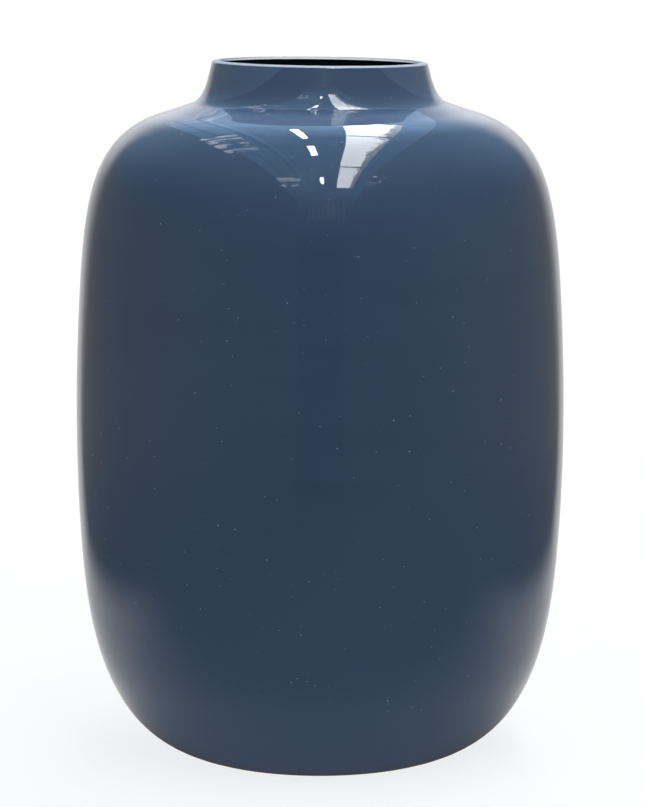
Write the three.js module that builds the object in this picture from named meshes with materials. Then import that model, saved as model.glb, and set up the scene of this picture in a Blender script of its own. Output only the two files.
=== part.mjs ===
// A mouth-blown flower vase of cased glass, made of three layers that lie one inside the other:
// a clear outer casing that carries the foot and the rounded lip, an opaque blue layer, and a
// near-black inner lining. Millimetres, +Z up, with the origin at the middle of the foot.

import * as THREE from 'three';

// Overall size
const HEIGHT = 450;
const BELLY_RADIUS = 159;

// Foot: a flat ground ring round a slightly hollow middle
const FOOT_RADIUS = 89.3;
const HOLLOW_RADIUS = 58;
const HOLLOW_DEPTH = 2.5;

// Heel: the curve from the foot ring up to the side wall
const HEEL_ANGLE = THREE.MathUtils.degToRad(17.4);
const HEEL_REACH = 60.6;
const HEEL_RISE = 56;
const WALL_START = 151;

// Side wall: widest at the belly, and drawn in along a parabola below and above it
const BELLY_HEIGHT = 215;
const DRAW_IN_BELOW = 4.29e-4;
const DRAW_IN_ABOVE = 3.54e-4;
const WALL_END = 309;

// Shoulder: from the side wall to the outer edge of the collar
const SHOULDER_RISE = 61.3;
const SHOULDER_REACH = 43.6;

// Collar: a nearly straight slope from the shoulder up to the fold under the neck
const COLLAR_RADIUS = 101.5;
const COLLAR_HEIGHT = 416.9;
const COLLAR_ANGLE = THREE.MathUtils.degToRad(16.3);
const FOLD_RADIUS = 83.4;
const FOLD_HEIGHT = 422.9;
const FOLD_ANGLE = THREE.MathUtils.degToRad(18.5);

// Neck: a tight turn out of the fold, then a wall that leans in to the lip
const NECK_FLARE = 9.8;
const NECK_RISE = 10.1;
const NECK_LEAN = THREE.MathUtils.degToRad(15.5);
const LIP_RADIUS = 69.85;

// Lip: its crown is close to the mouth, and from there it slopes gently down to a rounded edge
const LIP_HEIGHT = 1.8;
const LIP_CROWN = 1;
const LIP_EDGE_RISE = 1;
const LIP_SLOPE_REACH = 2.2;

// Thickness of each layer, and the gap that keeps the solids apart
const CASING_BASE = 9.5;
const CASING_FOOT_WALL = 9;
const CASING_BELLY_WALL = 2.4;
const CASING_NECK_WALL = 2;
const BLUE_WALL = 1.5;
const LINING_WALL = 0.8;
const GAP = 0.3;

// How finely the curves are cut into flats
const TURN_STEPS = 36;
const HEEL_STEPS = 6;
const WALL_STEPS = 2;
const SHOULDER_STEPS = 5;
const COLLAR_STEPS = 1;
const NECK_STEPS = 4;
const LIP_SLOPE_STEPS = 4;
const LIP_CROWN_STEPS = 3;
const BASE_STEPS = 3;
const HOLLOW_STEPS = 2;

// The inside of the base: how far out it stays level, and how far in the heel's slope carries on
const BASE_LEVEL_SHARE = 0.5;
const BASE_SLOPE_SHARE = 0.2;

const COLOUR_TOP = HEIGHT - LIP_HEIGHT - GAP;
const WALL_AT_LIP = CASING_NECK_WALL + BLUE_WALL + LINING_WALL + 2 * GAP;
const LIP_WIDTH = WALL_AT_LIP / Math.cos(NECK_LEAN);

// A point at a distance from another, at an angle measured from the outward radius
function along(point, angle, distance) {
  return new THREE.Vector2(
    point.x + distance * Math.cos(angle),
    point.y + distance * Math.sin(angle),
  );
}

// The radius of the side wall, which draws in with the square of the distance from the belly
function wallPoint(height, drawIn) {
  return new THREE.Vector2(BELLY_RADIUS - drawIn * (height - BELLY_HEIGHT) ** 2, height);
}

// The direction of the side wall at a height, as an angle from the outward radius
function wallAngle(height, drawIn) {
  return Math.atan2(1, -2 * drawIn * (height - BELLY_HEIGHT));
}

// The outside of the body as curves that run on smoothly from the foot ring up to the lip
function bodyCurves() {
  const foot = new THREE.Vector2(FOOT_RADIUS, 0);
  const wallStart = wallPoint(WALL_START, DRAW_IN_BELOW);
  const wallEnd = wallPoint(WALL_END, DRAW_IN_ABOVE);
  const belly = new THREE.Vector2(BELLY_RADIUS, BELLY_HEIGHT);
  const collar = new THREE.Vector2(COLLAR_RADIUS, COLLAR_HEIGHT);
  const fold = new THREE.Vector2(FOLD_RADIUS, FOLD_HEIGHT);
  const top = new THREE.Vector2(LIP_RADIUS, COLOUR_TOP);
  const collarReach = collar.distanceTo(fold) / 3;
  const startAngle = wallAngle(WALL_START, DRAW_IN_BELOW);
  const endAngle = wallAngle(WALL_END, DRAW_IN_ABOVE);
  const neckAngle = Math.PI / 2 + NECK_LEAN;
  return [
    {
      steps: HEEL_STEPS,
      curve: new THREE.CubicBezierCurve(
        foot,
        along(foot, HEEL_ANGLE, HEEL_REACH),
        along(wallStart, startAngle, -HEEL_RISE),
        wallStart,
      ),
    },
    {
      steps: WALL_STEPS,
      curve: new THREE.QuadraticBezierCurve(
        wallStart,
        new THREE.Vector2(BELLY_RADIUS, (WALL_START + BELLY_HEIGHT) / 2),
        belly,
      ),
    },
    {
      steps: WALL_STEPS,
      curve: new THREE.QuadraticBezierCurve(
        belly,
        new THREE.Vector2(BELLY_RADIUS, (WALL_END + BELLY_HEIGHT) / 2),
        wallEnd,
      ),
    },
    {
      steps: SHOULDER_STEPS,
      curve: new THREE.CubicBezierCurve(
        wallEnd,
        along(wallEnd, endAngle, SHOULDER_RISE),
        along(collar, -COLLAR_ANGLE, SHOULDER_REACH),
        collar,
      ),
    },
    {
      steps: COLLAR_STEPS,
      curve: new THREE.CubicBezierCurve(
        collar,
        along(collar, -COLLAR_ANGLE, -collarReach),
        along(fold, -FOLD_ANGLE, collarReach),
        fold,
      ),
    },
    {
      steps: NECK_STEPS,
      curve: new THREE.CubicBezierCurve(
        fold,
        along(fold, -FOLD_ANGLE, -NECK_FLARE),
        along(top, neckAngle, -NECK_RISE),
        top,
      ),
    },
  ];
}

// The casing is thick at the foot, thin round the belly, and thinnest up the neck
function casingWall(height) {
  const { lerp, smoothstep } = THREE.MathUtils;
  const body = lerp(CASING_FOOT_WALL, CASING_BELLY_WALL, smoothstep(height, 0, WALL_START));
  return lerp(body, CASING_NECK_WALL, smoothstep(height, WALL_END, FOLD_HEIGHT));
}

// The way into the wall: square to the run of a face, but level at the top, where layers are cut
function intoWall(run, atTop) {
  return atTop ? new THREE.Vector2(-1 / run.y, 0) : new THREE.Vector2(-run.y, run.x);
}

// Stations up the body: a point on the outside, and the point across the casing wall from it
function bodyStations() {
  const stations = [];
  const curves = bodyCurves();
  curves.forEach(({ curve, steps }, index) => {
    const last = index === curves.length - 1 ? steps : steps - 1;
    for (let step = 0; step <= last; step += 1) {
      const outer = curve.getPoint(step / steps);
      const tangent = curve.getTangent(step / steps);
      const inward = intoWall(tangent, step === steps);
      const inner = outer.clone().addScaledVector(inward, casingWall(outer.y));
      stations.push({ outer, inner });
    }
  });
  return stations;
}

// The casing's inside face, from the axis over the base and up to where the colour ends
function casingInside(stations) {
  const edge = stations[0].inner;
  const base = new THREE.CubicBezierCurve(
    new THREE.Vector2(0, CASING_BASE),
    new THREE.Vector2(edge.x * BASE_LEVEL_SHARE, CASING_BASE),
    along(edge, HEEL_ANGLE, -edge.x * BASE_SLOPE_SHARE),
    edge,
  );
  const basePoints = base.getPoints(BASE_STEPS).slice(0, -1);
  return [...basePoints, ...stations.map((station) => station.inner)];
}

// The same face moved inwards by a depth, into the wall at each of its points
function sunk(face, depth) {
  const top = face.length - 1;
  return face.map((point, index) => {
    const before = face[Math.max(index - 1, 0)];
    const after = face[Math.min(index + 1, top)];
    const run = after.clone().sub(before).normalize();
    const inward = index === 0 ? new THREE.Vector2(0, 1) : intoWall(run, index === top);
    return point.clone().addScaledVector(inward, depth);
  });
}

// The lip, from its outside edge over the crown to the mouth
function lipPoints() {
  const base = HEIGHT - LIP_HEIGHT;
  const mouth = LIP_RADIUS - LIP_WIDTH;
  const crown = mouth + LIP_CROWN;
  const slope = new THREE.CubicBezierCurve(
    new THREE.Vector2(LIP_RADIUS, base),
    new THREE.Vector2(LIP_RADIUS, base + LIP_EDGE_RISE),
    new THREE.Vector2(crown + LIP_SLOPE_REACH, HEIGHT),
    new THREE.Vector2(crown, HEIGHT),
  );
  const points = slope.getPoints(LIP_SLOPE_STEPS);
  for (let step = 1; step <= LIP_CROWN_STEPS; step += 1) {
    const angle = (Math.PI / 2) * (step / LIP_CROWN_STEPS);
    const radius = crown - LIP_CROWN * Math.sin(angle);
    points.push(new THREE.Vector2(radius, base + LIP_HEIGHT * Math.cos(angle)));
  }
  return points;
}

// The underside: a shallow hollow that rises to the axis, inside the flat foot ring
function footPoints() {
  const hollow = new THREE.QuadraticBezierCurve(
    new THREE.Vector2(0, HOLLOW_DEPTH),
    new THREE.Vector2(HOLLOW_RADIUS / 2, HOLLOW_DEPTH),
    new THREE.Vector2(HOLLOW_RADIUS, 0),
  );
  return hollow.getPoints(HOLLOW_STEPS);
}

// A solid of revolution about Z, from a profile that starts and ends on the axis
function turned(name, profile, material) {
  const geometry = new THREE.LatheGeometry(profile, TURN_STEPS);
  geometry.rotateX(Math.PI / 2);
  const mesh = new THREE.Mesh(geometry, material);
  mesh.name = name;
  return mesh;
}

function clearCasing(stations, inside) {
  const top = inside[inside.length - 1];
  const underLip = new THREE.Vector2(top.x, HEIGHT - LIP_HEIGHT);
  const profile = [
    ...footPoints(),
    ...stations.map((station) => station.outer),
    ...lipPoints(),
    underLip,
    ...inside.slice().reverse(),
  ];
  const glass = new THREE.MeshStandardMaterial({
    color: 0xdfe6ee,
    roughness: 0.03,
    metalness: 0,
    transparent: true,
    opacity: 0.3,
  });
  return turned('clear_outer_casing', profile, glass);
}

function layer(name, inside, depth, thickness, material) {
  const outer = sunk(inside, depth);
  const inner = sunk(inside, depth + thickness);
  return turned(name, [...outer, ...inner.reverse()], material);
}

function blueLayer(inside) {
  const glass = new THREE.MeshStandardMaterial({ color: 0x2f4560, roughness: 0.1, metalness: 0 });
  return layer('blue_colour_layer', inside, GAP, BLUE_WALL, glass);
}

function darkLining(inside) {
  const glass = new THREE.MeshStandardMaterial({ color: 0x0b1420, roughness: 0.1, metalness: 0 });
  return layer('dark_inner_lining', inside, 2 * GAP + BLUE_WALL, LINING_WALL, glass);
}

const stations = bodyStations();
const inside = casingInside(stations);
const group = new THREE.Group();
group.add(clearCasing(stations, inside));
group.add(blueLayer(inside));
group.add(darkLining(inside));

export default group;
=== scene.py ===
"""A mouth-blown flower vase of cased glass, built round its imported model.

Three layers of glass lie one inside the other: a clear casing with the foot and the rounded lip,
an opaque blue layer, and a near-black lining. Lengths are in metres, with +Z up and the origin at
the middle of the foot.
"""

import math

import bpy
from bpy.props import FloatProperty, FloatVectorProperty, IntProperty, PointerProperty
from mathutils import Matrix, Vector


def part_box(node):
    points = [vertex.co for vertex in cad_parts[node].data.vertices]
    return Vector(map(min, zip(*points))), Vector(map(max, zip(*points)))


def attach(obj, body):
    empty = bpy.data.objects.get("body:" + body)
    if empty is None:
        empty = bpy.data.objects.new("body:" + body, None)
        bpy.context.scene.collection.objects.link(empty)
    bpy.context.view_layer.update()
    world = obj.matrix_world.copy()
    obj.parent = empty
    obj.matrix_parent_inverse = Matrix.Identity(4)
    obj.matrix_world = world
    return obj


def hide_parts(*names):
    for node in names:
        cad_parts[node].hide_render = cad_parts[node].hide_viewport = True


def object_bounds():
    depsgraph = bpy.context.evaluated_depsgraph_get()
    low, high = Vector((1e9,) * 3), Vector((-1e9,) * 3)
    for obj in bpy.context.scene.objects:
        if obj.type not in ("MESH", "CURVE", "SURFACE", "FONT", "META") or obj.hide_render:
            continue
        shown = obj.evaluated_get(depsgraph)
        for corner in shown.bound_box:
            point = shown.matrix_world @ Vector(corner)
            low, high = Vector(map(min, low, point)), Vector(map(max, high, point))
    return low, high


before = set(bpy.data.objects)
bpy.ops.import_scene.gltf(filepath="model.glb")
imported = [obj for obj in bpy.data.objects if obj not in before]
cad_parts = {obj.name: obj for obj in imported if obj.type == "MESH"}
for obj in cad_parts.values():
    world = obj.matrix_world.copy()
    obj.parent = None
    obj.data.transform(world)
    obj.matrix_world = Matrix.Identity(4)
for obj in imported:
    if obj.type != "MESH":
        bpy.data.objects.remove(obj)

bl_info = {
    "name": "Cased Glass Vase",
    "version": (1, 0, 0),
    "blender": (4, 5, 0),
    "location": "View3D > Sidebar > Vase",
    "description": "Builds a blown vase of clear, blue and near-black glass in layers",
    "category": "Add Mesh",
}

CASING_NODE = "clear_outer_casing"
BLUE_NODE = "blue_colour_layer"
LINING_NODE = "dark_inner_lining"
BODY = "root"

CAD_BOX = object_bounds()
CASING_LOW, CASING_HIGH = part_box(CASING_NODE)
MILLIMETRE = 0.001

# Hot glass layers touch all over: each layer reaches this far into the one outside it
CONTACT = 0.05 * MILLIMETRE
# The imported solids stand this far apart, and each layer here takes up its share of the gap
GAP = 0.3 * MILLIMETRE
# How fast the side wall draws in, per metre, below and above the belly
DRAW_IN_BELOW = 0.429
DRAW_IN_ABOVE = 0.354
# How far the curves of the outline keep their first and last directions
HEEL_REACH = 0.0606
HEEL_RISE = 0.056
SHOULDER_RISE = 0.0613
SHOULDER_REACH = 0.0436
NECK_FLARE = 0.0098
NECK_RISE = 0.0101
LIP_EDGE_RISE = 0.001
LIP_SLOPE_REACH = 0.0022

# Painted light on the collar, where light from above falls: it starts and ends between these heights
COLLAR_LIGHT_START = (0.408, 0.414)
COLLAR_LIGHT_END = (0.4185, 0.4215)
# The paler patch at each side of the neck: its lowest height, and how its lower edge rises to the
# front
NECK_PATCH_LOW = 0.423
NECK_PATCH_RISE = 0.024
NECK_PATCH_MIDDLE = math.radians(6)
NECK_PATCH_START = math.radians(28)
NECK_PATCH_FALL = math.radians(18)

# The roof and its lights are turned a little about the vertical
CEILING_SKEW = math.tan(math.radians(3.2))


# ---------------- settings


def length_setting(name, description, default):
    """A length, shown in the scene's units."""
    return FloatProperty(name=name, description=description, default=default, unit="LENGTH")


def angle_setting(name, description, degrees):
    """An angle, given here in degrees."""
    radians = math.radians(degrees)
    return FloatProperty(name=name, description=description, default=radians, subtype="ANGLE")


def colour_setting(name, description, red, green, blue):
    """A colour, shown as a swatch."""
    return FloatVectorProperty(
        name=name, description=description, default=(red, green, blue, 1),
        subtype="COLOR", size=4, min=0, max=1,
    )


class VaseShape(bpy.types.PropertyGroup):
    """Sizes of the vase's outside, from the foot up"""

    height: length_setting("Height", "From the foot to the top of the lip", CASING_HIGH.z)
    belly_radius: length_setting("Belly Radius", "The widest radius of the body", CASING_HIGH.x)
    belly_height: length_setting("Belly Height", "How high the widest part is", 0.215)
    foot_radius: length_setting("Foot Radius", "Outer radius of the flat foot ring", 0.0893)
    hollow_radius: length_setting("Hollow Radius", "Radius of the hollow inside the foot ring", 0.058)
    hollow_depth: length_setting("Hollow Depth", "How far the hollow rises at the axis", 0.0025)
    heel_angle: angle_setting("Heel Angle", "How steeply the heel leaves the foot", 17.4)
    wall_start: length_setting("Wall Start", "Height where the heel runs into the side wall", 0.151)
    wall_end: length_setting("Wall End", "Height where the side wall runs into the shoulder", 0.309)
    collar_radius: length_setting(
        "Collar Radius", "Outer radius of the slope that runs up to the neck", 0.1015,
    )
    collar_height: length_setting("Collar Height", "Height of the collar's outer edge", 0.4169)
    collar_angle: angle_setting("Collar Angle", "How steeply the collar rises at its outer edge", 16.3)
    fold_radius: length_setting("Fold Radius", "Radius of the fold between collar and neck", 0.0834)
    fold_height: length_setting("Fold Height", "Height of the fold between collar and neck", 0.4229)
    fold_angle: angle_setting("Fold Angle", "How steeply the collar rises at the fold", 18.5)
    neck_lean: angle_setting("Neck Lean", "How far the neck leans in under the lip", 15.5)
    lip_radius: length_setting("Lip Radius", "Outer radius of the lip", 0.06985)
    lip_height: length_setting("Lip Height", "How far the clear lip stands above the colour", 0.0018)
    lip_crown: length_setting("Lip Crown", "How far the lip's highest line is from the mouth", 0.001)
    rim_lean: angle_setting("Rim Lean", "How far the hand-made rim is out of level", 0.8)
    rim_low_side: angle_setting("Rim Low Side", "Where the rim is lowest, turned from +X to +Y", 28)
    wobble: length_setting("Wobble", "How far the blown surface strays from true", 0.25 * MILLIMETRE)
    turn_steps: IntProperty(
        name="Turn Steps", description="Flats round the vase", default=180, min=12,
    )


class VaseLayers(bpy.types.PropertyGroup):
    """Thickness of each layer of glass"""

    casing_base: length_setting("Casing Base", "Clear glass at the middle of the base", 0.0095)
    casing_foot: length_setting("Casing Foot", "Clear glass at the edge of the foot", 0.009)
    casing_belly: length_setting("Casing Belly", "Clear glass round the belly", 0.0024)
    casing_neck: length_setting("Casing Neck", "Clear glass up the neck", 0.0020)
    blue: length_setting("Blue Layer", "Opaque blue glass", 0.0015)
    lining: length_setting("Lining", "Near-black glass", 0.0008)
    seed_count: IntProperty(
        name="Seeds", description="Small bubbles caught in the clear glass", default=1500,
    )
    seed_radius: length_setting("Seed Radius", "Radius of the largest bubble", 0.32 * MILLIMETRE)


class VaseColours(bpy.types.PropertyGroup):
    """Colours of the glass"""

    clear: colour_setting("Clear Glass", "Tint of the clear casing", 0.975, 0.985, 0.99)
    blue: colour_setting("Blue", "Main colour of the opaque layer", 0.037, 0.064, 0.107)
    blue_light: colour_setting("Light Blue", "Where the blue runs thin or milky", 0.040, 0.068, 0.112)
    blue_deep: colour_setting("Deep Blue", "Where the blue lies thick", 0.034, 0.058, 0.096)
    # A paler blue towards the foot
    blue_foot: colour_setting(
        "Foot Blue", "Where the blue is blown thinner, towards the foot", 0.043, 0.073, 0.125,
    )
    # Painted light: a paler blue that stands in for light from above on the collar
    collar_painted_light: colour_setting(
        "Collar Blue", "The milkier blue of the collar under the neck", 0.098, 0.140, 0.212,
    )
    # A paler blue for the patches at both sides of the neck
    blue_neck_patch: colour_setting(
        "Haze", "The milky patches at both sides of the neck", 0.076, 0.118, 0.178,
    )
    lining: colour_setting("Lining", "Colour of the inside", 0.0055, 0.010, 0.018)
    lining_deep: colour_setting("Deep Lining", "Darker cords in the inside", 0.0030, 0.0055, 0.011)
    seed: colour_setting("Seed", "Glint of a bubble in the clear glass", 0.40, 0.50, 0.62)


class VaseStage(bpy.types.PropertyGroup):
    """Floor, lights and camera"""

    floor_radius: length_setting("Floor Radius", "Radius of the round floor", 24)
    camera_distance: length_setting("Camera Distance", "From the vase's axis to the camera", 2.2)
    camera_height: length_setting("Camera Height", "Height of the camera over the floor", 0.5638)
    camera_lens: FloatProperty(
        name="Lens", description="Focal length over the long side of the film, in millimetres",
        default=151.8,
    )
    ceiling_height: length_setting("Ceiling Height", "Height of the lights", 3.0)
    skylight_strength: FloatProperty(
        name="Skylight", description="Brightness of the long skylight", default=13,
    )
    lamp_strength: FloatProperty(
        name="Lamps", description="Brightness of the ceiling lamps", default=26,
    )
    fill_strength: FloatProperty(
        name="Fill", description="Strength of the soft light from both sides of the front",
        default=0.1,
    )


# ---------------- outline


def along(point, angle, distance):
    """A point at a distance from another, at an angle from the outward radius."""
    return point + distance * Vector((math.cos(angle), math.sin(angle)))


def bezier(a, b, c, d, steps):
    """Points on a cubic curve and its direction at each of them, without the last one."""
    found = []
    for step in range(steps):
        t = step / steps
        s = 1 - t
        point = s**3 * a + 3 * s * s * t * b + 3 * s * t * t * c + t**3 * d
        run = s * s * (b - a) + 2 * s * t * (c - b) + t * t * (d - c)
        found.append((point, run.normalized()))
    return found


def smooth(value, low, high):
    """0 below low, 1 above high, and an even climb between."""
    t = min(max((value - low) / (high - low), 0), 1)
    return t * t * (3 - 2 * t)


def wall_radius(shape, height, draw_in):
    """The side wall draws in with the square of the distance from the belly."""
    return shape.belly_radius - draw_in * (height - shape.belly_height) ** 2


def wall_angle(shape, height, draw_in):
    """The side wall's direction, as an angle from the outward radius."""
    return math.atan2(1, -2 * draw_in * (height - shape.belly_height))


def outline(shape):
    """The outside from the foot ring to the top of the colour: points and directions."""
    below, above = DRAW_IN_BELOW, DRAW_IN_ABOVE
    foot = Vector((shape.foot_radius, 0))
    low = Vector((wall_radius(shape, shape.wall_start, below), shape.wall_start))
    belly = Vector((shape.belly_radius, shape.belly_height))
    high = Vector((wall_radius(shape, shape.wall_end, above), shape.wall_end))
    collar = Vector((shape.collar_radius, shape.collar_height))
    fold = Vector((shape.fold_radius, shape.fold_height))
    top = Vector((shape.lip_radius, shape.height - shape.lip_height))
    low_angle = wall_angle(shape, low.y, below)
    high_angle = wall_angle(shape, high.y, above)
    below_reach = (belly.y - low.y) / 3
    above_reach = (high.y - belly.y) / 3
    collar_reach = (fold - collar).length / 3
    upright = math.pi / 2
    over_collar = math.pi - shape.collar_angle
    over_fold = math.pi - shape.fold_angle
    up_neck = upright + shape.neck_lean
    curves = [
        (foot, shape.heel_angle, HEEL_REACH, low, low_angle, HEEL_RISE, 30),
        (low, low_angle, below_reach, belly, upright, below_reach, 8),
        (belly, upright, above_reach, high, high_angle, above_reach, 10),
        (high, high_angle, SHOULDER_RISE, collar, over_collar, SHOULDER_REACH, 40),
        (collar, over_collar, collar_reach, fold, over_fold, collar_reach, 8),
        (fold, over_fold, NECK_FLARE, top, up_neck, NECK_RISE, 22),
    ]
    found = []
    for start, leave, reach, end, arrive, draw, steps in curves:
        found += bezier(start, along(start, leave, reach), along(end, arrive, -draw), end, steps)
    found.append((top, Vector((math.cos(up_neck), math.sin(up_neck)))))
    return found


def casing_wall(shape, layers, height):
    """Thick at the foot, thin round the belly, and thinnest up the neck."""
    climb = smooth(height, 0, shape.wall_start)
    body = layers.casing_foot + (layers.casing_belly - layers.casing_foot) * climb
    return body + (layers.casing_neck - body) * smooth(height, shape.wall_end, shape.fold_height)


def into_wall(run, at_top=False):
    """Square to the run of a face, but level at the top, where the layers are cut."""
    return Vector((-1 / run.y, 0)) if at_top else Vector((-run.y, run.x))


def casing_inside(shape, layers):
    """The face under the clear glass, from the axis over the base to the top of the colour."""
    body = outline(shape)
    face = []
    for index, (point, run) in enumerate(body):
        inward = into_wall(run, index == len(body) - 1)
        face.append(point + casing_wall(shape, layers, point.y) * inward)
    # The base is level in the middle, and near its edge it carries on the heel's slope
    edge = face[0]
    middle = Vector((0, layers.casing_base))
    out = Vector((edge.x / 2, layers.casing_base))
    base = bezier(middle, out, along(edge, shape.heel_angle, -edge.x / 5), edge, 14)
    return [point for point, run in base] + face


def sunk(face, depth):
    """A face moved inwards by a depth, along the normal at each of its points."""
    moved = []
    top = len(face) - 1
    for index, point in enumerate(face):
        before = face[max(index - 1, 0)]
        after = face[min(index + 1, top)]
        run = (after - before).normalized()
        inward = Vector((0, 1)) if index == 0 else into_wall(run, index == top)
        moved.append(point + depth * inward)
    moved[0].x = 0
    return moved


def layer_outline(face, start, end):
    """A layer between two depths, which reaches a little into the glass outside and above it."""
    outer = sunk(face, start - CONTACT)
    inner = sunk(face, end)
    outer.append(outer[-1] + Vector((0, CONTACT)))
    inner.append(inner[-1] + Vector((0, CONTACT)))
    return outer + inner[::-1]


def lip_outline(shape, layers):
    """The lip, from its outside edge over the crown to the mouth."""
    wall = layers.casing_neck + layers.blue + layers.lining + 2 * GAP
    base = shape.height - shape.lip_height
    edge = Vector((shape.lip_radius, base))
    edge_top = edge + Vector((0, LIP_EDGE_RISE))
    mouth = shape.lip_radius - wall / math.cos(shape.neck_lean)
    crown = Vector((mouth + shape.lip_crown, shape.height))
    slope = bezier(edge, edge_top, crown + Vector((LIP_SLOPE_REACH, 0)), crown, 14)
    found = [point for point, run in slope[1:]]
    steps = 8
    for step in range(steps + 1):
        angle = math.pi / 2 * step / steps
        inward = shape.lip_crown * math.sin(angle)
        found.append(Vector((crown.x - inward, base + shape.lip_height * math.cos(angle))))
    return found


def underside(shape):
    """The hollow under the base, from the axis to the inner edge of the foot ring."""
    steps = 10
    found = []
    for step in range(steps + 1):
        share = step / steps
        found.append(Vector((shape.hollow_radius * share, shape.hollow_depth * (1 - share**2))))
    return found


# ---------------- node helpers


class NodeBuilder:
    """Adds nodes to a tree, left to right, and links them by socket name."""

    def __init__(self, tree):
        self.tree = tree
        self.count = 0

    def add(self, kind, values=None, **settings):
        """A node of a kind, with its settings, and its inputs set or linked by name."""
        node = self.tree.nodes.new(kind)
        node.location = (180 * (self.count % 12), -220 * (self.count // 12))
        self.count += 1
        for name, value in settings.items():
            setattr(node, name, value)
        for name, value in (values or {}).items():
            self.put(node.inputs[name], value)
        return node

    def put(self, socket, value):
        """Links an output to an input, or sets its plain value."""
        if isinstance(value, bpy.types.NodeSocket):
            self.tree.links.new(value, socket)
        else:
            socket.default_value = value

    def maths(self, operation, a, b=0.0):
        """The result of a maths node."""
        return self.add("ShaderNodeMath", {0: a, 1: b}, operation=operation).outputs[0]

    def times(self, value, *factors):
        """A value times each of the factors."""
        for factor in factors:
            value = self.maths("MULTIPLY", value, factor)
        return value

    def climb(self, value, low, high, start=0.0, end=1.0):
        """A smooth climb from start to end as value goes from low to high."""
        node = self.add(
            "ShaderNodeMapRange",
            {"Value": value, "From Min": low, "From Max": high, "To Min": start, "To Max": end},
            interpolation_type="SMOOTHSTEP",
        )
        return node.outputs["Result"]

    def blend(self, share, a, b):
        """A mix of two colours."""
        node = self.add("ShaderNodeMix", data_type="RGBA")
        self.put(node.inputs[0], share)
        self.put(node.inputs[6], a)
        self.put(node.inputs[7], b)
        return node.outputs[2]

    def split(self, vector):
        """The three numbers of a vector."""
        return self.add("ShaderNodeSeparateXYZ", {"Vector": vector}).outputs

    def join(self, x, y, z):
        """A vector from three numbers."""
        return self.add("ShaderNodeCombineXYZ", {"X": x, "Y": y, "Z": z}).outputs[0]

    def place(self):
        """The point that is being coloured, in the object's own metres."""
        return self.add("ShaderNodeTexCoord").outputs["Object"]

    def noise(self, place, scale, detail=2.0):
        """Soft random mottling from 0 to 1."""
        values = {"Vector": place, "Scale": scale, "Detail": detail}
        return self.add("ShaderNodeTexNoise", values).outputs[0]

    def bump(self, height, strength, distance):
        """The normal of a surface that is raised by a pattern."""
        values = {"Height": height, "Strength": strength, "Distance": distance}
        return self.add("ShaderNodeBump", values).outputs[0]

    def bounced(self):
        """1 for a ray that a mirroring or a matt surface sends on, 0 for the camera's own."""
        path = self.add("ShaderNodeLightPath").outputs
        return self.maths("MAXIMUM", path["Is Glossy Ray"], path["Is Diffuse Ray"])

    def glow(self, out, colour, strength=1.0):
        """Ends a material in plain light."""
        light = self.add("ShaderNodeEmission", {"Color": colour, "Strength": strength})
        self.put(out.inputs["Surface"], light.outputs[0])


def geometry_tree(name, inputs):
    """An empty Geometry Nodes tree with named inputs."""
    tree = bpy.data.node_groups.new(name, "GeometryNodeTree")
    face = tree.interface
    face.new_socket("Geometry", in_out="INPUT", socket_type="NodeSocketGeometry")
    for label, kind in inputs.items():
        face.new_socket(label, in_out="INPUT", socket_type="NodeSocket" + kind)
    face.new_socket("Geometry", in_out="OUTPUT", socket_type="NodeSocketGeometry")
    return tree


def finish_tree(build, tree, geometry, material):
    """Ends a tree in real geometry with its material."""
    real = build.add("GeometryNodeRealizeInstances", {"Geometry": geometry}).outputs[0]
    painted = build.add("GeometryNodeSetMaterial", {"Geometry": real, "Material": material})
    out = tree.nodes.new("NodeGroupOutput")
    tree.links.new(painted.outputs[0], out.inputs["Geometry"])


# ---------------- geometry trees


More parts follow.
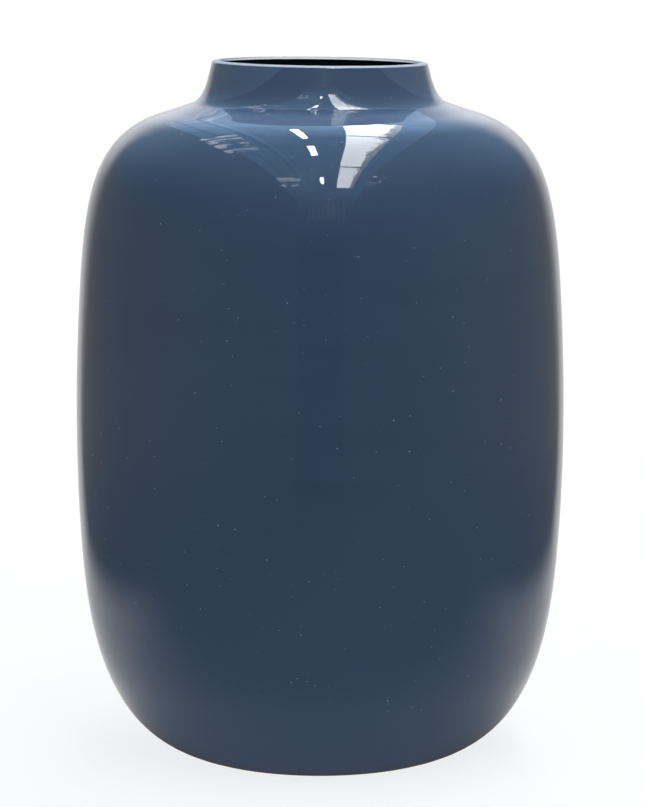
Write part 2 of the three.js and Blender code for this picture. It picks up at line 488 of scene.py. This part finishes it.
def turned_tree():
    """Turns a chain of points about Z into a closed skin, as a blower turns the pipe."""
    tree = geometry_tree(
        "turned_glass",
        {
            "Turn Steps": "Int",
            "Wobble": "Float",
            "Rim Lean": "Float",
            "Rim Low Side": "Float",
            "Rim Start": "Float",
            "Rim End": "Float",
            "Glass": "Material",
        },
    )
    build = NodeBuilder(tree)
    given = tree.nodes.new("NodeGroupInput").outputs
    chain = given["Geometry"]
    count = build.add(
        "GeometryNodeAttributeDomainSize", {"Geometry": chain}, component="MESH"
    ).outputs["Point Count"]
    columns = build.maths("ADD", given["Turn Steps"], 1.0)
    grid = build.add("GeometryNodeMeshGrid", {"Vertices X": columns, "Vertices Y": count})
    index = build.add("GeometryNodeInputIndex").outputs[0]
    column = build.maths("FLOOR", build.maths("DIVIDE", index, count))
    row = build.maths("MODULO", index, count)
    place = build.add("GeometryNodeInputPosition").outputs[0]
    sample = build.add("GeometryNodeSampleIndex", data_type="FLOAT_VECTOR", domain="POINT")
    build.put(sample.inputs["Geometry"], chain)
    build.put(sample.inputs["Value"], place)
    build.put(sample.inputs["Index"], row)
    radius, _, height = build.split(sample.outputs[0])

    turn = build.times(build.maths("DIVIDE", column, given["Turn Steps"]), math.tau)
    cosine = build.maths("COSINE", turn)
    sine = build.maths("SINE", turn)
    # The wobble depends on the direction and the height alone, so that all layers follow it
    spot = build.join(cosine, sine, build.times(height, 9.0))
    noise = build.add(
        "ShaderNodeTexNoise",
        {"Vector": spot, "W": 4.0, "Scale": 0.9, "Detail": 1.5, "Roughness": 0.4},
        noise_dimensions="4D",
    ).outputs[0]
    # The noise strays by about a quarter, and the foot and the mouth keep nearly true
    stray = build.times(build.maths("SUBTRACT", noise, 0.5), given["Wobble"], 4.0)
    stray = build.times(stray, build.climb(radius, 0.05, 0.12), build.climb(height, 0.0, 0.03))
    wide = build.maths("ADD", radius, stray)
    x = build.times(wide, cosine)
    y = build.times(wide, sine)
    # The rim is a little out of level
    lift = build.climb(height, given["Rim Start"], given["Rim End"])
    lower = build.maths("COSINE", build.maths("SUBTRACT", turn, given["Rim Low Side"]))
    slope = build.times(build.maths("TANGENT", given["Rim Lean"]), -1.0)
    lean = build.times(slope, radius, lower, lift)
    moved = build.join(x, y, build.maths("ADD", height, lean))
    skin = grid.outputs["Mesh"]
    skin = build.add("GeometryNodeSetPosition", {"Geometry": skin, "Position": moved}).outputs[0]
    welded = build.add("GeometryNodeMergeByDistance", {"Geometry": skin, "Distance": 1e-6})
    shaded = build.add("GeometryNodeSetShadeSmooth", {"Geometry": welded.outputs[0]})
    finish_tree(build, tree, shaded.outputs[0], given["Glass"])
    return tree


def seed_tree():
    """Scatters small drawn-out bubbles over a face that lies inside the clear glass."""
    tree = geometry_tree(
        "seed_bubbles",
        {"Count": "Int", "Radius": "Float", "Seed": "Int", "Glass": "Material"},
    )
    build = NodeBuilder(tree)
    given = tree.nodes.new("NodeGroupInput").outputs
    areas = build.add("GeometryNodeAttributeStatistic", domain="FACE")
    build.put(areas.inputs["Geometry"], given["Geometry"])
    build.put(areas.inputs["Attribute"], build.add("GeometryNodeInputMeshFaceArea").outputs[0])
    density = build.maths("DIVIDE", given["Count"], areas.outputs["Sum"])
    points = build.add("GeometryNodeDistributePointsOnFaces", distribute_method="RANDOM")
    build.put(points.inputs["Mesh"], given["Geometry"])
    build.put(points.inputs["Density"], density)
    build.put(points.inputs["Seed"], given["Seed"])
    ball = build.add("GeometryNodeMeshIcoSphere", {"Radius": given["Radius"], "Subdivisions": 1})
    size = build.add("FunctionNodeRandomValue", {"Seed": 11}, data_type="FLOAT")
    build.put(size.inputs[2], 0.25)
    build.put(size.inputs[3], 1.0)
    drawn = build.add("FunctionNodeRandomValue", {"Seed": 12}, data_type="FLOAT")
    build.put(drawn.inputs[2], 1.0)
    build.put(drawn.inputs[3], 2.2)
    small = size.outputs[1]
    long = build.times(small, drawn.outputs[1])
    placed = build.add("GeometryNodeInstanceOnPoints")
    build.put(placed.inputs["Points"], points.outputs["Points"])
    build.put(placed.inputs["Instance"], ball.outputs["Mesh"])
    build.put(placed.inputs["Rotation"], points.outputs["Rotation"])
    build.put(placed.inputs["Scale"], build.join(long, small, small))
    shaded = build.add("GeometryNodeSetShadeSmooth", {"Geometry": placed.outputs[0]})
    finish_tree(build, tree, shaded.outputs[0], given["Glass"])
    return tree


def tree_named(name, maker):
    """A tree that is made once and then shared."""
    return bpy.data.node_groups.get(name) or maker()


def set_input(modifier, name, value):
    """Sets a modifier's input by its socket's identifier."""
    for item in modifier.node_group.interface.items_tree:
        if item.item_type == "SOCKET" and item.in_out == "INPUT" and item.name == name:
            modifier[item.identifier] = value
            return
    raise ValueError(f"the tree has no input named {name}")


def grown(name, base, tree, values):
    """A plain mesh piece: what a tree makes of a base mesh."""
    source = bpy.data.objects.new(name + "_source", base)
    bpy.context.scene.collection.objects.link(source)
    modifier = source.modifiers.new(name, "NODES")
    modifier.node_group = tree
    for label, value in values.items():
        set_input(modifier, label, value)
    graph = bpy.context.evaluated_depsgraph_get()
    mesh = bpy.data.meshes.new_from_object(source.evaluated_get(graph))
    mesh.name = name
    source.modifiers.remove(modifier)
    bpy.data.objects.remove(source)
    bpy.data.meshes.remove(base)
    piece = bpy.data.objects.new(name, mesh)
    bpy.context.scene.collection.objects.link(piece)
    if not mesh.polygons:
        raise RuntimeError(f"{name} came out empty")
    return piece


def chain_mesh(points):
    """A profile of radius and height as a chain of mesh edges."""
    mesh = bpy.data.meshes.new("profile")
    links = [(index, index + 1) for index in range(len(points) - 1)]
    mesh.from_pydata([(point.x, 0, point.y) for point in points], links, [])
    return mesh


def volume(mesh):
    """The signed volume of a closed mesh: positive when its faces point out."""
    mesh.calc_loop_triangles()
    total = 0.0
    for triangle in mesh.loop_triangles:
        a, b, c = (mesh.vertices[index].co for index in triangle.vertices)
        total += a.dot(b.cross(c)) / 6
    return total


def turned(name, points, material, shape):
    """A closed piece of turned glass whose faces point out."""
    values = {
        "Turn Steps": shape.turn_steps,
        "Wobble": shape.wobble,
        "Rim Lean": shape.rim_lean,
        "Rim Low Side": shape.rim_low_side,
        "Rim Start": shape.fold_height,
        "Rim End": shape.height,
        "Glass": material,
    }
    piece = grown(name, chain_mesh(points), tree_named("turned_glass", turned_tree), values)
    if volume(piece.data) < 0:
        piece.data.flip_normals()
    return piece


# ---------------- materials


def new_material(name):
    """A material with an empty tree, its builder and its output node."""
    material = bpy.data.materials.new(name)
    material.use_nodes = True
    material.node_tree.nodes.clear()
    build = NodeBuilder(material.node_tree)
    out = build.add("ShaderNodeOutputMaterial")
    return material, build, out


def lets_lamps_through(build, shader, out, tint):
    """Glass that casts no dark shadow: rays from lamps and soft light pass straight through."""
    path = build.add("ShaderNodeLightPath").outputs
    clear = build.add("ShaderNodeBsdfTransparent", {"Color": tint}).outputs[0]
    through = build.maths("MAXIMUM", path["Is Shadow Ray"], path["Is Diffuse Ray"])
    mixed = build.add("ShaderNodeMixShader", {0: through, 1: shader, 2: clear})
    build.put(out.inputs["Surface"], mixed.outputs[0])


def clear_glass(colours):
    """Clear blown glass: glossy, with the slow ripple that blowing leaves."""
    material, build, out = new_material("clear_blown_glass")
    ripple = build.noise(build.place(), 42.0)
    glass = build.add(
        "ShaderNodeBsdfPrincipled",
        {
            "Base Color": colours.clear,
            "Roughness": 0.0,
            "IOR": 1.5,
            "Transmission Weight": 1.0,
            "Normal": build.bump(ripple, 0.035, 0.002),
        },
    )
    lets_lamps_through(build, glass.outputs[0], out, colours.clear)
    return material


def satin_glass(colours):
    """The lip, ground level and then reheated a little, which leaves it satin and pale."""
    material, build, out = new_material("satin_lip_glass")
    grain = build.noise(build.place(), 900.0, 3.0)
    glass = build.add(
        "ShaderNodeBsdfPrincipled",
        {
            "Base Color": colours.clear,
            "Roughness": build.climb(grain, 0.3, 0.7, 0.38, 0.6),
            "IOR": 1.5,
            "Transmission Weight": 0.75,
            "Normal": build.bump(grain, 0.25, 0.0002),
        },
    )
    lets_lamps_through(build, glass.outputs[0], out, colours.clear)
    return material


def drawn_cords(build, place, stretch, scale, detail):
    """Faint cords in the glass, drawn out round the vase by the turning."""
    drawn = build.add("ShaderNodeMapping", {"Vector": place, "Scale": (1.0, 1.0, stretch)})
    return build.noise(drawn.outputs[0], scale, detail)


def neck_pale_patches(build, place):
    """Where the paler patches lie: at both sides of the neck, each bounded below by an arc."""
    x, y, z = build.split(place)
    turn = build.maths("ARCTAN2", x, build.times(y, -1.0))
    turn = build.maths("ABSOLUTE", build.maths("SUBTRACT", turn, NECK_PATCH_MIDDLE))
    fall = build.maths("DIVIDE", build.maths("SUBTRACT", NECK_PATCH_START, turn), NECK_PATCH_FALL)
    arc = build.maths("ADD", build.times(build.maths("EXPONENT", fall), NECK_PATCH_RISE), NECK_PATCH_LOW)
    return build.climb(build.maths("SUBTRACT", z, arc), -0.4 * MILLIMETRE, 0.8 * MILLIMETRE)


def blue_glass(colours):
    """Opaque blue glass, a little cloudy, paler at the foot and neck sides, with painted light on the
    collar.
    """
    material, build, out = new_material("opaque_blue_glass")
    place = build.place()
    milky = build.climb(build.noise(place, 7.0, 3.0), 0.3, 0.7)
    thick = build.climb(drawn_cords(build, place, 9.0, 6.0, 4.0), 0.45, 0.75, 0.0, 0.45)
    colour = build.blend(milky, colours.blue, colours.blue_light)
    colour = build.blend(thick, colour, colours.blue_deep)
    height = build.split(place)[2]
    # Paler towards the foot, fading out by 0.2 m up
    colour = build.blend(build.climb(height, 0.03, 0.2, 1.0, 0.0), colour, colours.blue_foot)
    # Painted light: the collar is paler where light from above falls, and 30 % of it carries on up the
    # neck
    collar = build.climb(height, *COLLAR_LIGHT_START)
    collar = build.times(collar, build.climb(height, *COLLAR_LIGHT_END, 1.0, 0.3))
    colour = build.blend(collar, colour, colours.collar_painted_light)
    colour = build.blend(neck_pale_patches(build, place), colour, colours.blue_neck_patch)
    glass = build.add(
        "ShaderNodeBsdfPrincipled",
        {"Base Color": colour, "Roughness": 0.35, "Specular IOR Level": 0.0},
    )
    build.put(out.inputs["Surface"], glass.outputs[0])
    return material


def dark_glass(colours):
    """Near-black inner glass with a soft fire polish."""
    material, build, out = new_material("dark_lining_glass")
    cords = drawn_cords(build, build.place(), 6.0, 9.0, 3.0)
    colour = build.blend(build.climb(cords, 0.35, 0.7), colours.lining, colours.lining_deep)
    rough = build.climb(cords, 0.3, 0.7, 0.08, 0.16)
    glass = build.add(
        "ShaderNodeBsdfPrincipled",
        {"Base Color": colour, "Roughness": rough, "IOR": 1.5},
    )
    build.put(out.inputs["Surface"], glass.outputs[0])
    return material


def seed_glass(colours):
    """The pale glint of a bubble inside the clear glass."""
    material, build, out = new_material("seed_glint")
    dim = [0.45 * part for part in colours.seed[:3]] + [1]
    share = build.climb(build.noise(build.place(), 300.0), 0.35, 0.65)
    colour = build.blend(share, dim, colours.seed)
    glass = build.add(
        "ShaderNodeBsdfPrincipled",
        {"Base Color": colour, "Roughness": 0.2, "Specular IOR Level": 0.3},
    )
    build.put(out.inputs["Surface"], glass.outputs[0])
    return material


# ---------------- stage


def flat_card(name, corners, material):
    """A light card of four corners, seen only in reflections and by its light."""
    mesh = bpy.data.meshes.new(name)
    mesh.from_pydata(corners, [], [(0, 1, 2, 3)])
    card = bpy.data.objects.new(name, mesh)
    card.data.materials.append(material)
    card.visible_camera = False
    card.visible_transmission = False
    bpy.context.scene.collection.objects.link(card)
    return card


def strip_corners(x, y_near, y_far, width, skew, height):
    """A ceiling strip that faces down, and runs to the side by the skew for each metre back."""
    corners = []
    for side, y in ((-0.5, y_near), (-0.5, y_far), (0.5, y_far), (0.5, y_near)):
        corners.append((x + side * width - skew * y, y, height))
    return corners


def across_roof(build, x, y):
    """How far to the side a point is, on a roof that is turned a little about the vertical."""
    return build.maths("ADD", x, build.times(y, CEILING_SKEW))


def repeats(build, value, pitch):
    """Runs from 0 to 1 over and over, once for each pitch."""
    return build.maths("FRACT", build.maths("DIVIDE", value, pitch))


def shaded(build, part, depth):
    """What is left of the light where a part takes some of it away."""
    return build.maths("SUBTRACT", 1.0, build.times(part, depth))


def glazed_light(name, strength, tint):
    """A long skylight with thin glazing bars, a beam at every tenth, and leaves along one side."""
    material, build, out = new_material(name)
    place = build.place()
    x, y, _ = build.split(place)
    # Counted from a point nearer than the skylight's near end, so that it stays above zero
    offset = build.maths("ADD", y, 9.2)
    bar = build.maths("LESS_THAN", repeats(build, offset, 0.265), 0.1)
    beam = build.maths("LESS_THAN", repeats(build, offset, 2.6), 0.03)
    litter = build.noise(place, 9.0, 6.0)
    heap = build.climb(across_roof(build, x, y), 0.58, 0.88, 0.0, 0.42)
    leaves = build.climb(build.maths("ADD", litter, heap), 0.68, 0.74, 1.0, 0.2)
    light = build.times(shaded(build, bar, 0.3), shaded(build, beam, 0.9), leaves)
    build.glow(out, tint, build.times(light, strength))
    return material


def plain_light(name, strength, tint):
    """An even glowing card."""
    material, build, out = new_material(name)
    build.glow(out, tint, strength)
    return material


def roof_light(name):
    """A hazy roof with three rails along it, dim at its near end and paler at its far end."""
    material, build, out = new_material(name)
    place = build.place()
    x, y, _ = build.split(place)
    light = build.climb(build.noise(place, 1.3, 3.0), 0.25, 0.75, 0.8, 1.15)
    side = across_roof(build, x, y)
    for rail, width, share in ((-0.62, 0.01, 1.5), (-0.7, 0.012, 0.6), (-1.02, 0.02, 0.7)):
        off = build.maths("ABSOLUTE", build.maths("SUBTRACT", side, rail))
        light = build.times(light, build.climb(off, width, width * 1.6, share, 1.0))
    tint = build.blend(build.climb(y, 2.5, 6.4), (0.58, 0.95, 1.45, 1), (1.0, 1.1, 1.3, 1))
    light = build.times(light, build.climb(y, -6.5, -2.0, 0.2, 1.0))
    build.glow(out, tint, light)
    return material


def patchy_light(name, strength, tint):
    """Light that comes in broken pieces through a row of dusty panes."""
    material, build, out = new_material(name)
    place = build.place()
    pane = repeats(build, build.split(place)[1], 0.5)
    pane = build.times(build.climb(pane, 0.0, 0.1), build.climb(pane, 0.65, 0.8, 1.0, 0.0))
    dust = build.climb(build.noise(place, 3.5, 5.0), 0.42, 0.6)
    light = build.times(pane, dust, strength)
    glow = build.add("ShaderNodeEmission", {"Color": tint, "Strength": light})
    veil = build.add("ShaderNodeBsdfTransparent")
    mixed = build.add("ShaderNodeAddShader", {0: glow.outputs[0], 1: veil.outputs[0]})
    build.put(out.inputs["Surface"], mixed.outputs[0])
    return material


def striped_light(name):
    """A dim gable end with upright boards and a paler window."""
    material, build, out = new_material(name)
    x, _, z = build.split(build.place())
    boards = build.climb(repeats(build, x, 0.19), 0.1, 0.35, 0.15, 0.5)
    window = build.times(build.climb(x, 0.15, 0.2), build.climb(x, 0.55, 0.6, 1.0, 0.0))
    window = build.times(window, build.climb(z, 2.1, 2.15), 0.25)
    build.glow(out, (0.75, 0.95, 1.0, 1), build.maths("ADD", boards, window))
    return material


def add_roof(height):
    """The hazy roof and the gable end, which the glass mirrors and which light nothing."""
    strip = strip_corners(-0.03, -7.0, 6.4, 2.5, CEILING_SKEW, height + 0.05)
    roof = flat_card("roof", strip, roof_light("roof_glow"))
    roof.visible_diffuse = False
    left, right, near, bottom, top = -0.45, 0.95, -4.2, 1.9, 2.75
    upright = [(left, near, bottom), (left, near, top), (right, near, top), (right, near, bottom)]
    gable = flat_card("gable", upright, striped_light("gable_glow"))
    gable.visible_diffuse = False


def add_ceiling_lights(stage):
    """The skylight, broken light from dusty windows, and a row of lamps, seen on the shoulder."""
    height = stage.ceiling_height
    day = (0.93, 0.97, 1.0, 1)
    skylight = glazed_light("skylight_glow", stage.skylight_strength, day)
    flat_card("skylight", strip_corners(0.585, -3.05, 3.2, 0.52, CEILING_SKEW, height), skylight)
    add_roof(height)
    dusty = patchy_light("dusty_window_glow", stage.skylight_strength * 0.28, day)
    windows = {
        "side_window": (-1.15, 0.1, 1.7, 0.6),
        "near_window": (-0.82, -2.9, -2.1, 0.6),
        "far_window": (1.5, -2.7, -1.9, 0.4),
    }
    for name, (x, near, far, width) in windows.items():
        flat_card(name, strip_corners(x, near, far, width, 0, height), dusty)
    lamp = plain_light("lamp_glow", stage.lamp_strength, (1.0, 0.98, 0.95, 1))
    lamps = ((-0.19, 0.95, 2.1, 0.07), (-0.1, -0.55, 0.2, 0.1), (0.07, -2.75, -2.2, 0.11))
    for number, (x, near, far, width) in enumerate(lamps):
        middle = (near + far) / 2
        corners = strip_corners(0, near - middle, far - middle, width, CEILING_SKEW, height)
        flat_card(f"lamp_{number}", [(a + x, b + middle, c) for a, b, c in corners], lamp)


def mirrored_walls(build, x, y):
    """What the glass mirrors level with itself: dim in front, grey at the sides, pale behind."""
    level = build.add("ShaderNodeVectorMath", {0: build.join(x, y, 0.0)}, operation="NORMALIZE")
    _, behind, _ = build.split(level.outputs[0])
    front, side, back = (0.10, 0.115, 0.12, 1), (0.26, 0.225, 0.19, 1), (0.88, 0.86, 0.85, 1)
    doorway = (0.02, 0.025, 0.03, 1)
    walls = build.blend(build.climb(behind, -1.0, -0.2), front, side)
    walls = build.blend(build.climb(behind, -0.987, -0.978), doorway, walls)
    return build.blend(build.climb(behind, 0.76, 0.97), walls, back), behind


def mirrored_floor(build, place, away):
    """What the glass mirrors of the floor: a pale sheet from the vase back, and painted shadow under
    its foot.
    """
    x, y, _ = build.split(place)
    # The sheet widens behind the vase, and its edges are soft
    reach = build.maths("MAXIMUM", build.maths("SUBTRACT", y, 0.5), 0.0)
    across = build.maths("SUBTRACT", build.maths("ABSOLUTE", x), build.times(reach, 0.43))
    sheet = build.times(build.climb(across, 0.36, 0.58, 1.0, 0.0), build.climb(y, -0.24, 0.03))
    walls, _ = mirrored_walls(build, x, y)
    bare = build.blend(build.climb(away, 0.3, 1.6), (0.1, 0.105, 0.1, 1), walls)
    colour = build.blend(sheet, bare, (0.78, 0.77, 0.76, 1))
    # Painted shadow: dark brown close round the foot, where the vase shades the floor
    return build.blend(build.climb(away, 0.095, 0.19), (0.07, 0.05, 0.04, 1), colour)


def floor_material():
    """A pale floor: nearly white to the camera, a sheet on grey to the glass, and even to the rest."""
    material, build, out = new_material("pale_floor")
    place = build.place()
    away = build.add("ShaderNodeVectorMath", {0: place}, operation="LENGTH").outputs["Value"]
    mirrored = mirrored_floor(build, place, away)
    pale = build.blend(build.noise(place, 60.0), (0.80, 0.80, 0.80, 1), (0.82, 0.82, 0.82, 1))
    matt = build.add("ShaderNodeBsdfDiffuse", {"Color": pale})
    white = build.add("ShaderNodeEmission", {"Color": (1, 1, 1, 1), "Strength": 1.02})
    seen = build.climb(away, 0.35, 1.3, 0.8, 1.0)
    plain = build.add("ShaderNodeMixShader", {0: seen, 1: matt.outputs[0], 2: white.outputs[0]})
    soft = build.add("ShaderNodeLightPath").outputs["Is Diffuse Ray"]
    sent = build.blend(soft, mirrored, (0.85, 0.85, 0.85, 1))
    glow = build.add("ShaderNodeEmission", {"Color": sent})
    shaders = {0: build.bounced(), 1: plain.outputs[0], 2: glow.outputs[0]}
    mixed = build.add("ShaderNodeMixShader", shaders)
    build.put(out.inputs["Surface"], mixed.outputs[0])
    return material


def add_floor(stage):
    """A round pale floor."""
    steps = 96
    ring = []
    for step in range(steps):
        angle = math.tau * step / steps
        ring.append((stage.floor_radius * math.cos(angle), stage.floor_radius * math.sin(angle), 0))
    mesh = bpy.data.meshes.new("floor")
    mesh.from_pydata(ring, [], [tuple(range(steps))])
    mesh.materials.append(floor_material())
    floor = bpy.data.objects.new("floor", mesh)
    bpy.context.scene.collection.objects.link(floor)


def add_room():
    """A white surround, which the glass mirrors as grey walls, a pale back and a dim ceiling."""
    world = bpy.data.worlds.new("soft_room")
    bpy.context.scene.world = world
    world.use_nodes = True
    world.node_tree.nodes.clear()
    build = NodeBuilder(world.node_tree)
    facing = build.add("ShaderNodeTexCoord").outputs["Generated"]
    x, y, z = build.split(facing)
    walls, behind = mirrored_walls(build, x, y)
    above = build.maths("ADD", z, build.times(build.maths("MAXIMUM", behind, 0.0), 0.35))
    low_ceiling, high_ceiling = (0.16, 0.21, 0.28, 1), (0.36, 0.52, 0.74, 1)
    ceiling = build.blend(build.climb(above, 0.35, 0.9), low_ceiling, high_ceiling)
    # Straight behind, the pale end wall is brighter and stands higher
    end = build.climb(behind, 0.8, 0.95)
    bright = build.times(end, build.climb(z, 0.05, 0.2))
    walls = build.blend(bright, walls, (1.2, 1.2, 1.24, 1))
    up = build.maths("SUBTRACT", z, build.times(end, 0.15))
    room = build.blend(build.climb(up, 0.1, 0.4), walls, ceiling)
    colour = build.blend(build.bounced(), (1, 1, 1, 1), room)
    glow = build.add("ShaderNodeBackground", {"Color": colour, "Strength": 1.0})
    out = build.add("ShaderNodeOutputWorld")
    build.put(out.inputs["Surface"], glow.outputs[0])


def add_fill(stage):
    """Broad soft light from both sides of the front, which lights the blue and isn't mirrored."""
    tilt = math.radians(66)
    turn = math.radians(52)
    for side in (-1, 1):
        data = bpy.data.lights.new("soft_fill", "SUN")
        data.energy = stage.fill_strength
        data.angle = math.radians(70)
        light = bpy.data.objects.new("soft_fill", data)
        light.rotation_euler = (tilt, 0, side * turn)
        light.visible_glossy = False
        light.visible_transmission = False
        light.visible_camera = False
        bpy.context.scene.collection.objects.link(light)


def add_camera(stage):
    """A long lens that looks a little down on the vase."""
    data = bpy.data.cameras.new("camera")
    data.sensor_fit = "VERTICAL"
    data.sensor_height = 36
    data.lens = stage.camera_lens
    data.clip_end = 200
    camera = bpy.data.objects.new("camera", data)
    camera.location = (0, -stage.camera_distance, stage.camera_height)
    low, high = CAD_BOX
    middle = (low[2] + high[2]) / 2
    # The vase stands a hair left of the middle of the view, and a hair below it
    aim = Vector((1.6 * MILLIMETRE, 0, middle + 1.8 * MILLIMETRE)) - camera.location
    camera.rotation_euler = aim.to_track_quat("-Z", "Y").to_euler()
    bpy.context.scene.collection.objects.link(camera)
    bpy.context.scene.camera = camera


# ---------------- operators


def settings():
    """The four groups of settings."""
    scene = bpy.context.scene
    return scene.vase_shape, scene.vase_layers, scene.vase_colours, scene.vase_stage


def seat(piece, node):
    """Puts a finished piece on its body in place of its plain solid."""
    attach(piece, BODY)
    if node:
        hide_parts(node)


def paint_lip(mesh, shape, colours):
    """Gives the faces of the lip their satin glass."""
    mesh.materials.append(satin_glass(colours))
    satin = len(mesh.materials) - 1
    # The satin starts a little over the lip's lower edge
    lip_start = shape.height - 0.7 * shape.lip_height
    for face in mesh.polygons:
        x, y, z = face.center
        # The rim leans, so its height is measured from the leaning line
        turn = math.atan2(y, x) - shape.rim_low_side
        drop = math.tan(shape.rim_lean) * math.hypot(x, y) * math.cos(turn)
        if z + drop > lip_start:
            face.material_index = satin


class VASE_OT_clear_casing(bpy.types.Operator):
    """Build the clear outer casing with its foot and rounded lip"""

    bl_idname = "vase.clear_casing"
    bl_label = "Clear Casing"

    def execute(self, context):
        shape, layers, colours, _ = settings()
        inside = sunk(casing_inside(shape, layers), GAP / 2)
        outside = [point for point, run in outline(shape)]
        points = underside(shape) + outside + lip_outline(shape, layers) + inside[::-1]
        piece = turned("clear_casing", points, clear_glass(colours), shape)
        paint_lip(piece.data, shape, colours)
        seat(piece, CASING_NODE)
        return {"FINISHED"}


class VASE_OT_blue_layer(bpy.types.Operator):
    """Build the opaque blue layer under the clear casing"""

    bl_idname = "vase.blue_layer"
    bl_label = "Blue Layer"

    def execute(self, context):
        shape, layers, colours, _ = settings()
        start = GAP / 2
        end = GAP * 1.5 + layers.blue
        points = layer_outline(casing_inside(shape, layers), start, end)
        piece = turned("blue_layer", points, blue_glass(colours), shape)
        seat(piece, BLUE_NODE)
        return {"FINISHED"}


class VASE_OT_dark_lining(bpy.types.Operator):
    """Build the near-black lining that shows through the mouth"""

    bl_idname = "vase.dark_lining"
    bl_label = "Dark Lining"

    def execute(self, context):
        shape, layers, colours, _ = settings()
        start = GAP * 1.5 + layers.blue
        end = GAP * 2 + layers.blue + layers.lining
        points = layer_outline(casing_inside(shape, layers), start, end)
        piece = turned("dark_lining", points, dark_glass(colours), shape)
        seat(piece, LINING_NODE)
        return {"FINISHED"}


class VASE_OT_seeds(bpy.types.Operator):
    """Scatter the small bubbles that are caught in the clear casing"""

    bl_idname = "vase.seeds"
    bl_label = "Seed Bubbles"

    def execute(self, context):
        shape, layers, colours, _ = settings()
        glint = seed_glass(colours)
        lowest = 0.05
        highest = shape.height - 3 * shape.lip_height
        band = []
        for point, run in outline(shape):
            if lowest < point.y < highest:
                depth = 0.6 * casing_wall(shape, layers, point.y)
                band.append(point + depth * into_wall(run))
        carrier = turned("seed_carrier", band, glint, shape)
        values = {
            "Count": layers.seed_count,
            "Radius": layers.seed_radius,
            "Seed": 7,
            "Glass": glint,
        }
        tree = tree_named("seed_bubbles", seed_tree)
        face = carrier.data.copy()
        bpy.data.objects.remove(carrier)
        piece = grown("seed_bubbles", face, tree, values)
        seat(piece, None)
        return {"FINISHED"}


class VASE_OT_stage(bpy.types.Operator):
    """Set up the pale floor, the soft light and the camera"""

    bl_idname = "vase.stage"
    bl_label = "Stage"

    def execute(self, context):
        stage = settings()[3]
        context.scene.view_settings.view_transform = "Standard"
        add_floor(stage)
        add_room()
        add_ceiling_lights(stage)
        add_fill(stage)
        add_camera(stage)
        return {"FINISHED"}


class VASE_PT_panel(bpy.types.Panel):
    """The vase's steps and settings in the sidebar"""

    bl_idname = "VASE_PT_panel"
    bl_label = "Cased Glass Vase"
    bl_space_type = "VIEW_3D"
    bl_region_type = "UI"
    bl_category = "Vase"

    def draw(self, context):
        layout = self.layout
        for operator in OPERATORS:
            layout.operator(operator.bl_idname)
        for group in settings():
            box = layout.box()
            for name in group.bl_rna.properties.keys():
                if name not in ("rna_type", "name"):
                    box.prop(group, name)


OPERATORS = (
    VASE_OT_clear_casing,
    VASE_OT_blue_layer,
    VASE_OT_dark_lining,
    VASE_OT_seeds,
    VASE_OT_stage,
)
GROUPS = {
    "vase_shape": VaseShape,
    "vase_layers": VaseLayers,
    "vase_colours": VaseColours,
    "vase_stage": VaseStage,
}


def register():
    """Registers the settings, the operators and the panel."""
    for name, group in GROUPS.items():
        bpy.utils.register_class(group)
        setattr(bpy.types.Scene, name, PointerProperty(type=group))
    for operator in OPERATORS:
        bpy.utils.register_class(operator)
    bpy.utils.register_class(VASE_PT_panel)


def unregister():
    """Takes them away again."""
    bpy.utils.unregister_class(VASE_PT_panel)
    for operator in OPERATORS[::-1]:
        bpy.utils.unregister_class(operator)
    for name, group in GROUPS.items():
        delattr(bpy.types.Scene, name)
        bpy.utils.unregister_class(group)


def main():
    """Builds the vase and its stage."""
    register()
    bpy.ops.vase.stage()
    bpy.ops.vase.clear_casing()
    bpy.ops.vase.blue_layer()
    bpy.ops.vase.dark_lining()
    bpy.ops.vase.seeds()
    bpy.context.view_layer.update()


if __name__ == "__main__":
    main()
